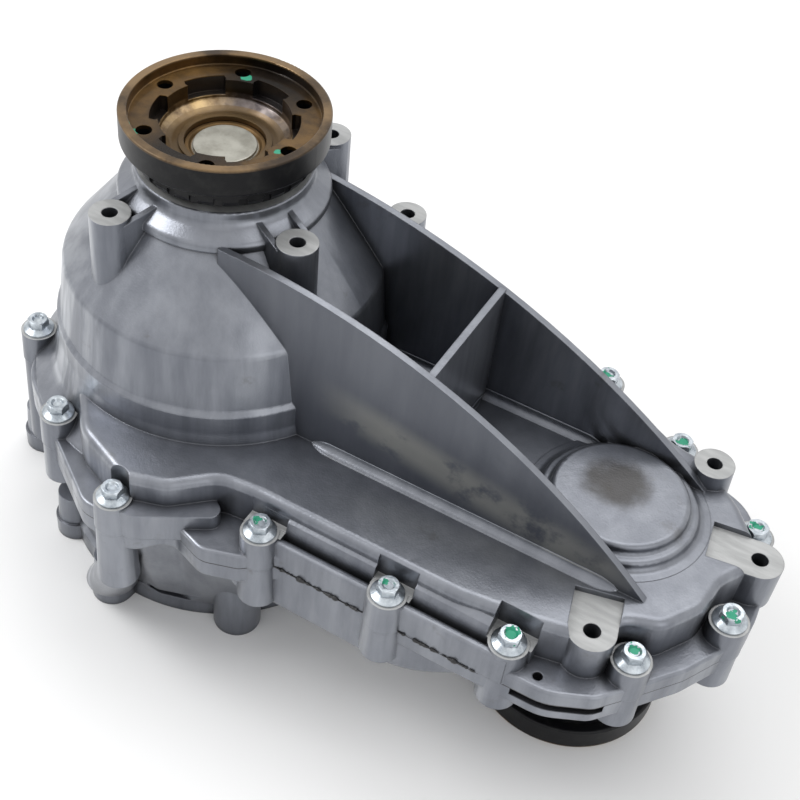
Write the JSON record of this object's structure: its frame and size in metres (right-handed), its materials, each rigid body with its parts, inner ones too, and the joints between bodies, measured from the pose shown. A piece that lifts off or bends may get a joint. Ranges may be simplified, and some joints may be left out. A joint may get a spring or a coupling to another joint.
{
  "type": "transfer case",
  "caption": "Two-part cast aluminium transfer case with a planetary centre differential, a chain drive to a second output shaft, splined input bore and bolted output flanges.",
  "frame": {"origin": "on the main shaft's axis, at the face that bolts to the gearbox", "axes": "+Z along the main shaft towards the rear output flange, +X from the main shaft to the front output shaft"},
  "size_m": [0.4796, 0.2794, 0.301],
  "materials": {
    "cast_aluminium": "die cast, light blue-grey, satin",
    "steel": "machined and ground, oily",
    "zinc": "bright zinc plated",
    "sealant": "black silicone",
    "soft_metal": "soft crush washer",
    "black_plastic": "moulded, matt",
    "magnet": "sintered, dark",
    "seal_rubber": "moulded rubber over a steel case",
    "bronze": "bearing bronze, oily",
    "dark_steel": "heat-treated chain steel",
    "flange_steel": "black outside, oily bronze-brown machined inside",
    "cap_steel": "plain sheet steel"
  },
  "bodies": {
    "case": {"rear_case": "cast_aluminium", "front_case": "cast_aluminium", "joint_sealant": "sealant", "case_bolts": "zinc", "dowel_pins": "steel", "fill_plug": "zinc", "drain_plug": "zinc", "plug_washers": "soft_metal", "breather": "black_plastic", "oil_baffle": "zinc", "case_magnet": "magnet", "rear_seal": "seal_rubber", "front_seal": "seal_rubber", "input_seal": "seal_rubber", "rear_bearing_snap_ring": "steel", "front_bearing_snap_ring": "steel", "input_bearing_snap_ring": "steel", "rear_bearing_outer_race": "steel", "front_bearing_outer_race": "steel", "input_bearing_outer_race": "steel", "pilot_bearing_outer_race": "steel", "drive_chain": "dark_steel"},
    "input_drive": {"input_shaft": "steel", "planet_carrier": "steel", "carrier_plate": "steel", "planet_pins": "steel", "thrust_washers": "bronze", "input_bearing_inner_race": "steel", "input_bearing_balls": "steel"},
    "sun_drive": {"sun_gear": "steel", "sun_bushes": "bronze", "drive_sprocket": "steel", "sprocket_snap_ring": "steel"},
    "rear_output": {"rear_output_shaft": "steel", "ring_gear": "steel", "ring_gear_snap_ring": "steel", "rear_flange": "flange_steel", "rear_slinger": "flange_steel", "rear_flange_nut": "steel", "rear_end_cap": "cap_steel", "rear_bearing_inner_race": "steel", "rear_bearing_balls": "steel"},
    "front_output": {"front_output_shaft": "steel", "driven_sprocket": "steel", "front_flange": "flange_steel", "front_slinger": "flange_steel", "front_flange_nut": "steel", "front_end_cap": "cap_steel", "front_bearing_inner_race": "steel", "front_bearing_balls": "steel", "pilot_bearing_inner_race": "steel", "pilot_bearing_balls": "steel"},
    "planet_1": {"planet_gear_1": "steel"},
    "planet_2": {"planet_gear_2": "steel"},
    "planet_3": {"planet_gear_3": "steel"},
    "planet_4": {"planet_gear_4": "steel"}
  },
  "joints": [
    {"name": "input_spin", "type": "hinge", "parent": "case", "child": "input_drive", "pos_m": [0, 0, 0], "axis": [0, 0, 1], "continuous": true},
    {"name": "rear_output_spin", "type": "hinge", "parent": "input_drive", "child": "rear_output", "pos_m": [0, 0, 0.25], "axis": [0, 0, 1], "continuous": true},
    {"name": "sun_spin", "type": "hinge", "parent": "input_drive", "child": "sun_drive", "pos_m": [0, 0, 0.14], "axis": [0, 0, 1], "continuous": true},
    {"name": "planet_1_spin", "type": "hinge", "parent": "input_drive", "child": "planet_1", "pos_m": [0.05, 0, 0.175], "axis": [0, 0, 1], "continuous": true},
    {"name": "planet_2_spin", "type": "hinge", "parent": "input_drive", "child": "planet_2", "pos_m": [0, 0.05, 0.175], "axis": [0, 0, 1], "continuous": true},
    {"name": "planet_3_spin", "type": "hinge", "parent": "input_drive", "child": "planet_3", "pos_m": [-0.05, 0, 0.175], "axis": [0, 0, 1], "continuous": true},
    {"name": "planet_4_spin", "type": "hinge", "parent": "input_drive", "child": "planet_4", "pos_m": [0, -0.05, 0.175], "axis": [0, 0, 1], "continuous": true},
    {"name": "front_output_spin", "type": "hinge", "parent": "case", "child": "front_output", "pos_m": [0.25, 0, 0.1], "axis": [0, 0, 1], "continuous": true}
  ],
  "couplings": [
    {"joint": "sun_spin", "follows": "rear_output_spin", "ratio": -2.3333},
    {"joint": "planet_1_spin", "follows": "rear_output_spin", "ratio": 3.5},
    {"joint": "planet_2_spin", "follows": "rear_output_spin", "ratio": 3.5},
    {"joint": "planet_3_spin", "follows": "rear_output_spin", "ratio": 3.5},
    {"joint": "planet_4_spin", "follows": "rear_output_spin", "ratio": 3.5},
    {"joint": "front_output_spin", "follows": "input_spin", "ratio": 1}
  ]
}
